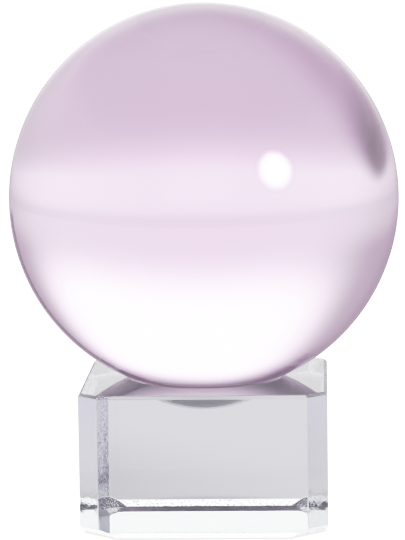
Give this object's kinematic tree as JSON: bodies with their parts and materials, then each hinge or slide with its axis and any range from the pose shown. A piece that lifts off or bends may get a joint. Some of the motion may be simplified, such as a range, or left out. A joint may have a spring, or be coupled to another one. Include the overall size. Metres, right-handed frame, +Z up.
{
  "type": "crystal ball on a stand",
  "caption": "Solid lavender-tinted glass ball, loose in a shallow ground seat on a clear glass block stand with bevelled corners.",
  "frame": {"origin": "middle of the stand's underside, on the surface that the stand rests on", "axes": "+Z up through the middle of the seat and the ball, -Y towards the stand's front face, +X to its right"},
  "size_m": [0.08, 0.08, 0.106],
  "materials": {
    "lavender_glass": "solid polished optical glass, tinted lavender-pink all through",
    "clear_glass": "solid clear glass with polished faces, finely ground bevels and a ground seat"
  },
  "bodies": {
    "stand": {"crystal_stand": "clear_glass"},
    "ball": {"crystal_ball": "lavender_glass"}
  },
  "joints": [
    {"name": "ball_lift", "type": "slide", "parent": "stand", "child": "ball", "axis": [0, 0, 1], "range_m": [0, 0.06]}
  ]
}
